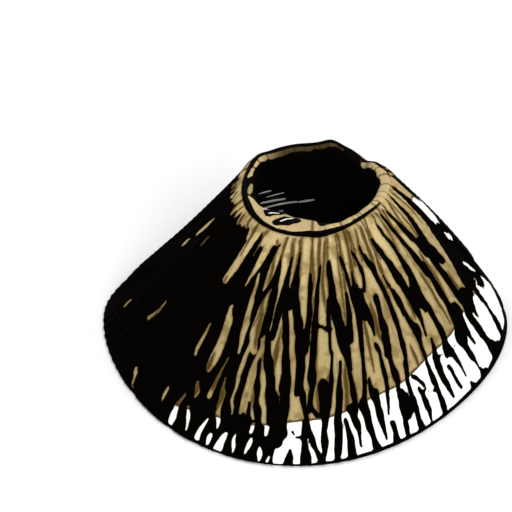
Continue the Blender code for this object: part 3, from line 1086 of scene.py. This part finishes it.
pits, given, result = new_group("pits", {"Size": 0.4, "Patchiness": 0.5}, ["Mask"])
where = object_place(pits)
fineness = calculate(pits, "DIVIDE", PER_METRE, given["Size"])
cells = node(pits, "ShaderNodeTexVoronoi", {"Vector": where, "Scale": fineness})
hollow = fade(pits, cells.outputs["Distance"], PIT_RIM, PIT_FLOOR)
slow = noise(pits, where, calculate(pits, "MULTIPLY", fineness, PATCH_SCALE))
full = calculate(pits, "ADD", given["Patchiness"], PATCH_EDGE)
patches = fade(pits, slow, given["Patchiness"], full)
pits.links.new(calculate(pits, "MULTIPLY", hollow, patches), result["Mask"])
print("group:", pits.name)

# %% [markdown]
# Round the hole lie a few short marks that no rule gives: dark tongues of painted shade on the lip's
# shelf, and pale streaks of painted highlight on the shelf and on the dark wall. Each one runs from one
# point to another. The group takes the two points and says how deep a place lies inside the mark. It
# works in the material, at any closeness, where the mesh is too coarse to hold a mark as thin as a
# hair.

# %% Marks from one point to another
MARK_TAPER = 0.66  # half of this share of the width is gone at the mark's ends


def new_mark_group():
    points = {"Start": (0.0, 0.0, 0.0), "End": (0.0, 0.0, 0.0), "Width": 0.3}
    group, given, result = new_group("mark between points", points, ["Depth"])

    def vector(operation, first, second, output="Vector"):
        made = node(group, "ShaderNodeVectorMath", {0: first, 1: second}, operation=operation)
        return made.outputs[output]

    span = vector("SUBTRACT", given["End"], given["Start"])
    away = vector("SUBTRACT", object_place(group), given["Start"])
    along = vector("DOT_PRODUCT", away, span, "Value")
    along = calculate(group, "DIVIDE", along, vector("DOT_PRODUCT", span, span, "Value"))
    along = node(group, "ShaderNodeClamp", {"Value": along}).outputs[0]
    reach = node(group, "ShaderNodeVectorMath", {0: span, "Scale": along}, operation="SCALE")
    off = vector("LENGTH", vector("SUBTRACT", away, reach.outputs[0]), (0, 0, 0), "Value")
    from_middle = calculate(group, "ABSOLUTE", calculate(group, "SUBTRACT", along, 0.5))
    taper = calculate(group, "MULTIPLY", from_middle, MARK_TAPER)
    taper = calculate(group, "SUBTRACT", 1.0, taper)
    half_width = calculate(group, "MULTIPLY", given["Width"], 0.5)
    half_width = calculate(group, "MULTIPLY", half_width, taper)
    off_in_mm = calculate(group, "MULTIPLY", off, PER_METRE)
    group.links.new(calculate(group, "SUBTRACT", half_width, off_in_mm), result["Depth"])
    return group


mark = new_mark_group()


def deepest_mark(tree, marks):
    """How deep a place lies in any of the marks. Each is two points and a width, in mm."""
    deepest = NOT_HERE
    for start, end, width in marks:
        start, end = (tuple(v * MM for v in point) for point in (start, end))
        inside_mark = place(tree, mark, {"Start": start, "End": end, "Width": width})["Depth"]
        deepest = calculate(tree, "MAXIMUM", inside_mark, deepest)
    return deepest


print("group:", mark.name)

# %% [markdown]
# ## Colours
#
# Screen colours are curved, and shaders want them straight, so a small function converts. The few
# colours here are warm tan crests, brown for painted shade and soft streaks, the near-black of painted
# shade, the white of new growth, and the grey cream of porcelain inside.
#
# Each material starts with one colour and is tinted step by step, as a glaze is laid over clay. A
# tint needs a mask. Most masks are a noise or a stored number that fades in between two values.

# %% Colours of the shell
def straight(red, green, blue):
    """A screen colour, 0 to 255, as the shader's linear colour."""
    curved = np.array((red, green, blue)) / 255
    linear = np.where(curved < 0.04, curved / 12.92, ((curved + 0.055) / 1.055) ** 2.4)
    return (*linear.tolist(), 1.0)


TAN = straight(190, 170, 121)
ROSY_TAN = straight(188, 164, 120)
LOW_TAN = straight(164, 146, 103)
OLIVE_TAN = straight(156, 143, 96)
BROWN = straight(106, 83, 38)
SEPIA = straight(62, 45, 14)
DEEP_BROWN = straight(52, 38, 16)
NEAR_BLACK = straight(3, 2, 1)
NEW_WHITE = straight(242, 240, 233)
NEW_SHADE = straight(205, 198, 178)
CALLUS = straight(191, 171, 123)
PORCELAIN = straight(222, 216, 200)
PORCELAIN_SHADE = straight(178, 172, 152)
RAY_BLACK = straight(18, 13, 9)
print("tan as the shader takes it:", [round(part, 3) for part in TAN])

# %% Tints and finishes
MIX_BASE, MIX_TINT, MIX_RESULT = 6, 7, 2  # the colour sockets of a Mix node


def tint(tree, base, colour, mask, strength=1.0):
    """base, turned towards colour where mask is high."""
    if strength < 1:
        mask = calculate(tree, "MULTIPLY", mask, strength)
    inputs = {0: mask, MIX_BASE: base, MIX_TINT: colour}
    return node(tree, "ShaderNodeMix", inputs, data_type="RGBA").outputs[MIX_RESULT]


def tint_all(tree, base, tones):
    """base after several tints. Each is a colour, the number that brings it, the number's value
    where the tint sets in, its value where the tint is full, and how strong it is then."""
    for colour, number, start, full, strength in tones:
        base = tint(tree, base, colour, fade(tree, number, start, full, high=strength))
    return base


def new_material(name):
    material = bpy.data.materials.new(name)
    material.use_nodes = True
    tree = material.node_tree
    return material, tree, tree.nodes["Principled BSDF"].inputs


def finish_surface(tree, surface, colour, roughness, bumps, strength, height):
    """Give the shader its colour, its roughness and bumps of a height in mm."""
    inputs = {"Height": bumps, "Strength": strength, "Distance": height * MM}
    normal = node(tree, "ShaderNodeBump", inputs).outputs["Normal"]
    for name, output in {"Base Color": colour, "Roughness": roughness, "Normal": normal}.items():
        tree.links.new(output, surface[name])


print("a tint's sockets:", MIX_BASE, MIX_TINT, MIX_RESULT)

# %% [markdown]
# ## The ribbed outside
#
# From the bottom up: tan chalk in close hues, with soft brown shade, mottling and fine streaks, and
# thin brown lines of painted shade in the furrows between small ribs. Building it in the order in which
# it came about keeps each step simple, and each has one mask.

# %% Ribbed outside: tan, shade and brown lines
ribbed, tree, surface = new_material("ribbed chalk")
where = object_place(tree)
fine = rib_streaks(tree, around=46.0, down=3.0)
chalk_tones = (
    (ROSY_TAN, noise(tree, where, 160.0), 0.48, 0.62, 1.0),
    (LOW_TAN, stored(tree, "down"), 0.12, 0.42, 1.0),
    (OLIVE_TAN, rib_streaks(tree, around=7.0, down=1.4), 0.50, 0.68, 0.5),
    (BROWN, rib_streaks(tree, around=12.0, down=3.2), 0.48, 0.76, 0.85),
    (BROWN, noise(tree, where, 440.0), 0.49, 0.67, 0.62),
    (BROWN, fine, 0.58, 0.76, 0.35),
)
colour = tint_all(tree, TAN, chalk_tones)

# The brown lines and their halo are painted shade in the furrows.
line_depth = stored(tree, "brown")
line_halo = stain(tree, line_depth, softness=0.30, fraying=0.16, size=0.9, spread=0.15)
colour = tint(tree, colour, BROWN, line_halo, 0.55)
line_core = stain(tree, line_depth, softness=0.16, fraying=0.14, size=0.7, spread=0.055)
colour = tint(tree, colour, SEPIA, line_core, 0.90)
rings = place(tree, growth_rings, {"Rings": 34.0, "Unevenness": 3.0})
colour = tint(tree, colour, BROWN, rings["Line"], 0.05)
print("nodes so far:", len(tree.nodes))

# %% [markdown]
# Over the tan lies the white new growth past the resting line, with a brown rim, and over both lies the
# near-black of painted shade. On the tan the black has a brown halo of painted shade, which on white
# would look dirty, so the halo is held back there.

# %% Ribbed outside: new growth and painted shade
past_line = stored(tree, "new_growth")
resting = stain(tree, past_line, softness=0.18, fraying=0.4, size=1.2, spread=0.34)
colour = tint(tree, colour, DEEP_BROWN, resting, 0.88)
# newer also takes in the patches of painted highlight on the right.
newer = stain(tree, past_line, softness=0.10, fraying=0.12)
white = tint_all(tree, NEW_WHITE, [(NEW_SHADE, fine, 0.58, 0.78, 0.35)])
colour = tint(tree, colour, white, newer)

SHADE_HALO_ON_TAN = 0.5
HELD_BACK = 0.95  # the share of the halo that is missing on white
depth = stored(tree, "dark")
# A brown halo of painted shade beside the black marks.
shade_halo = stain(tree, depth, softness=0.20, fraying=0.16, size=0.9, spread=0.22)
on_tan = calculate(tree, "SUBTRACT", 1.0, calculate(tree, "MULTIPLY", newer, HELD_BACK))
on_tan = calculate(tree, "MULTIPLY", on_tan, SHADE_HALO_ON_TAN)
colour = tint(tree, colour, BROWN, calculate(tree, "MULTIPLY", shade_halo, on_tan))
# The near-black is painted shade: in the grooves and the lip's groove, over the left flank and along
# the right edge. The margin's thin line is black too.
black_mask = stain(tree, depth, softness=0.045, fraying=0.09, size=0.8, spread=0.07)
colour = tint(tree, colour, NEAR_BLACK, black_mask)
print("nodes so far:", len(tree.nodes))

# %% [markdown]
# The mesh holds the large relief, and a bump holds what is finer than its points: streaks, rings
# and pits. Chalk hardly shines, so the specular level is low.

# %% Ribbed outside: fine relief and gloss
STREAK_BUMPS, RING_BUMPS, PIT_BUMPS = 0.9, 0.22, 0.9

pitted = place(tree, pits, {"Size": 0.55, "Patchiness": 0.52})["Mask"]
bumps = calculate(tree, "MULTIPLY", fine, STREAK_BUMPS)
bumps = calculate(tree, "MULTIPLY_ADD", rings["Height"], RING_BUMPS, bumps)
bumps = calculate(tree, "SUBTRACT", bumps, calculate(tree, "MULTIPLY", pitted, PIT_BUMPS))
roughness = fade(tree, black_mask, 0.0, 1.0, low=0.75, high=1.0)
finish_surface(tree, surface, colour, roughness, bumps, strength=0.5, height=0.12)
surface["Specular IOR Level"].default_value = 0.01
print("nodes in", ribbed.name, "material:", len(tree.nodes))

# %% [markdown]
# ## The lip
#
# The callus is denser than the chalk and was rubbed by the animal's soft pipe, so it is smoother and
# catches more light. Fine furrows run across it, with brown lines of painted shade, and the hole's
# painted shade climbs its inner edge in jagged tongues. Its far side is tinted deep brown as painted
# shade.

# %% Tongues of painted shade and streaks of painted highlight round the hole
# Each mark is its two ends and its width, in mm
SHELF_TONGUES = (
    ((-3.80, -5.05, 22.4), (-1.80, -4.65, 22.4), 2.90),
    ((-5.30, -2.90, 22.4), (-3.30, -2.30, 22.2), 1.50),
)
SHELF_GAPS = (
    ((-7.95, 2.80, 22.2), (-7.66, 5.30, 22.1), 0.72),
)
PAINTED_HIGHLIGHTS = (
    ((-5.90, -1.36, 22.2), (-4.60, -0.90, 22.1), 0.46),
    ((-5.10, -2.70, 22.3), (-3.90, -2.35, 22.2), 0.46),
    ((-3.54, -4.96, 22.4), (-2.00, -4.00, 22.3), 0.44),
    ((-6.75, 16.63, 14.0), (-5.34, 17.51, 13.9), 0.60),
    ((-5.78, 18.51, 12.3), (-3.51, 19.27, 12.6), 0.40),
    ((-6.51, 19.27, 10.9), (-3.38, 20.58, 10.8), 0.80),
    ((-6.10, 20.60, 9.2), (-1.66, 21.90, 9.6), 0.78),
    ((-1.09, 22.06, 9.5), (0.78, 21.96, 9.9), 0.80),
    ((-4.90, 22.75, 7.2), (-3.68, 22.99, 7.4), 0.70),
)
print("marks round the hole:", len(SHELF_TONGUES) + len(SHELF_GAPS) + len(PAINTED_HIGHLIGHTS))

# %% Material of the lip
callus, tree, surface = new_material("worn callus")
where = object_place(tree)
fine = rib_streaks(tree, around=30.0, down=2.0)
callus_tones = (
    (ROSY_TAN, noise(tree, where, 260.0), 0.45, 0.62, 1.0),
    (OLIVE_TAN, fine, 0.50, 0.68, 0.6),
)
colour = tint_all(tree, CALLUS, callus_tones)
# Brown lines of painted shade cross the lip too.
line_depth = stored(tree, "brown")
line_halo = stain(tree, line_depth, softness=0.18, fraying=0.10, size=0.8, spread=0.12)
colour = tint(tree, colour, BROWN, line_halo, 0.45)
line_core = stain(tree, line_depth, softness=0.11, fraying=0.06)
colour = tint(tree, colour, SEPIA, line_core, 0.75)
# The far side of the lip, where the grain's second number is high, is tinted deep brown as painted
# shade.
round_y = node(tree, "ShaderNodeSeparateXYZ", {0: stored(tree, "grain", "Vector")}).outputs["Y"]
colour = tint_all(tree, colour, [(DEEP_BROWN, round_y, 0.50, 0.92, 0.94)])

# Near-black of painted shade: the hole's shade over the lip's inner edge, and its tongues on the shelf.
tongues = deepest_mark(tree, SHELF_TONGUES)
depth = calculate(tree, "MAXIMUM", stored(tree, "dark"), tongues)
black_mask = stain(tree, depth, softness=0.05, fraying=0.10)
colour = tint(tree, colour, NEAR_BLACK, black_mask)
gaps = stain(tree, deepest_mark(tree, SHELF_GAPS), softness=0.06, fraying=0.08)
colour = tint(tree, colour, OLIVE_TAN, gaps)
# Pale streaks of painted highlight on the shelf and on the hole's dark wall.
highlight_streaks = stain(tree, deepest_mark(tree, PAINTED_HIGHLIGHTS), softness=0.05, fraying=0.05)
colour = tint(tree, colour, NEW_WHITE, highlight_streaks)

bumps = calculate(tree, "ADD", fine, noise(tree, where, 1500.0))
roughness = fade(tree, black_mask, 0.0, 1.0, low=0.48, high=0.72)
finish_surface(tree, surface, colour, roughness, bumps, strength=0.35, height=0.08)
surface["Specular IOR Level"].default_value = 0.02
print("nodes in", callus.name, "material:", len(tree.nodes))

# %% [markdown]
# ## The inside
#
# Inside, the shell is porcelain: thin layers laid down by the mantle, smooth and glossy, grey cream
# with faint rings. At the margin short dark rays show where the grooves end, and round the hole it is
# painted almost black, as shade of the hollow. The gloss is a coat over the porcelain. It ends where
# the black begins, because the painted shade is as matt as the lip's.

# %% Material of the inside
porcelain, tree, surface = new_material("inner porcelain")
porcelain_tones = (
    (PORCELAIN_SHADE, rib_streaks(tree, around=4.0, down=2.2), 0.42, 0.66, 1.0),
    (TAN, rib_streaks(tree, around=34.0, down=2.0), 0.55, 0.75, 0.5),
)
colour = tint_all(tree, PORCELAIN, porcelain_tones)
rings = place(tree, growth_rings, {"Rings": 22.0, "Unevenness": 1.2})
colour = tint(tree, colour, PORCELAIN_SHADE, rings["Line"], 0.35)
rays = stain(tree, stored(tree, "ray"), softness=0.20, fraying=0.15)
colour = tint(tree, colour, RAY_BLACK, rays, 0.9)
depth = stored(tree, "dark")
# A brown fringe, then near-black round the hole: painted shade of the hollow.
shade_fringe = stain(tree, depth, softness=2.2, fraying=1.6, size=4.0)
colour = tint(tree, colour, BROWN, shade_fringe, 0.7)
black = stain(tree, depth, softness=0.6, fraying=0.9, size=3.0, spread=-0.6)
colour = tint(tree, colour, NEAR_BLACK, black)

roughness = fade(tree, black, 0.0, 1.0, low=0.35, high=0.72)
finish_surface(tree, surface, colour, roughness, rings["Height"], strength=0.25, height=0.06)
tree.links.new(fade(tree, black, 0.0, 1.0, low=0.9, high=0.0), surface["Coat Weight"])
surface["Coat Roughness"].default_value = 0.26
surface["Specular IOR Level"].default_value = 0.02
print("nodes in", porcelain.name, "material:", len(tree.nodes))

# %% [markdown]
# ## Put the skin in place
#
# Each quad takes one of the three materials from the row that it lies in. Deep in the hollow's painted
# shade nothing of the porcelain shows, and the lip's material takes over there, because it holds the
# painted highlights. The skin then stands for the plain solid and moves with its body.

# %% Materials of the quads, and the object
DEEP_IN_PAINTED_SHADE = 2.2  # mm inside the hollow's painted shade
ON_LIP, ON_INSIDE = 1, 2  # places in the list of materials, where 0 is the ribbed outside
FOOT_EDGE_BANDS = 2  # the last bands of quads, up the rounded edge of the foot, are ribbed too

for material in (ribbed, callus, porcelain):
    mesh.materials.append(material)
material_of = np.zeros((row_count, COLUMNS), dtype=np.int32)
material_of[lip_from - 1:inside_from] = ON_LIP
material_of[inside_from:row_count - FOOT_EDGE_BANDS] = ON_INSIDE
deep_in_shade = inside_dark > DEEP_IN_PAINTED_SHADE
deep_in_shade = deep_in_shade & np.roll(deep_in_shade, -1, axis=1)
material_of[inside_from:foot_from - 1][deep_in_shade[:-1] & deep_in_shade[1:]] = ON_LIP
mesh.polygons.foreach_set("material_index", material_of.ravel())
mesh.update()

skin = add_object("shell_skin", mesh)
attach(skin, "root")
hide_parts("shell")
print("triangles:", 2 * len(mesh.polygons))

# %% [markdown]
# ## Floor and light
#
# The shell lies on a plain pale floor. Even light from a white sky keeps the floor white and the
# grooves readable, and one large soft lamp, high on the right, models the ribs and leaves the left
# flank in shade, over the shade that is painted there in near-black.

# %% Floor
FLOOR_SIZE = 3.0
FLOOR_WHITE = 0.90

half = FLOOR_SIZE / 2
corners = [(-half, -half, 0), (half, -half, 0), (half, half, 0), (-half, half, 0)]
floor_mesh = bpy.data.meshes.new("floor")
floor_mesh.from_pydata(corners, [], [(0, 1, 2, 3)])
floor = add_object("floor", floor_mesh)
paper, tree, surface = new_material("floor paper")
surface["Base Color"].default_value = (FLOOR_WHITE, FLOOR_WHITE, FLOOR_WHITE, 1)
surface["Roughness"].default_value = 0.9
surface["Specular IOR Level"].default_value = 0.1
floor_mesh.materials.append(paper)
print("floor:", FLOOR_SIZE, "m wide")

# %% Lamp and sky
LAMP_TURN = math.radians(20)  # to the right of the camera
LAMP_ELEVATION = math.radians(37)
LAMP_DISTANCE = 0.75
LAMP_SIZE = 0.30
LAMP_POWER = 3.0
SKY_STRENGTH = 0.92

lamp = add_object("key lamp", bpy.data.lights.new("key lamp", "AREA"))
lamp.data.size = LAMP_SIZE
lamp.data.energy = LAMP_POWER
level = Vector((math.sin(LAMP_TURN), -math.cos(LAMP_TURN), 0))
direction = level * math.cos(LAMP_ELEVATION) + Vector((0, 0, math.sin(LAMP_ELEVATION)))
lamp.location = direction * LAMP_DISTANCE
lamp.rotation_euler = lamp.location.to_track_quat("Z", "Y").to_euler()

sky = bpy.data.worlds.new("sky")
sky.use_nodes = True
background = sky.node_tree.nodes["Background"].inputs
background["Color"].default_value = (1, 1, 1, 1)
background["Strength"].default_value = SKY_STRENGTH
bpy.context.scene.world = sky
bpy.context.scene.view_settings.view_transform = "Standard"
print("lamp at, in m:", [round(v, 2) for v in lamp.location])
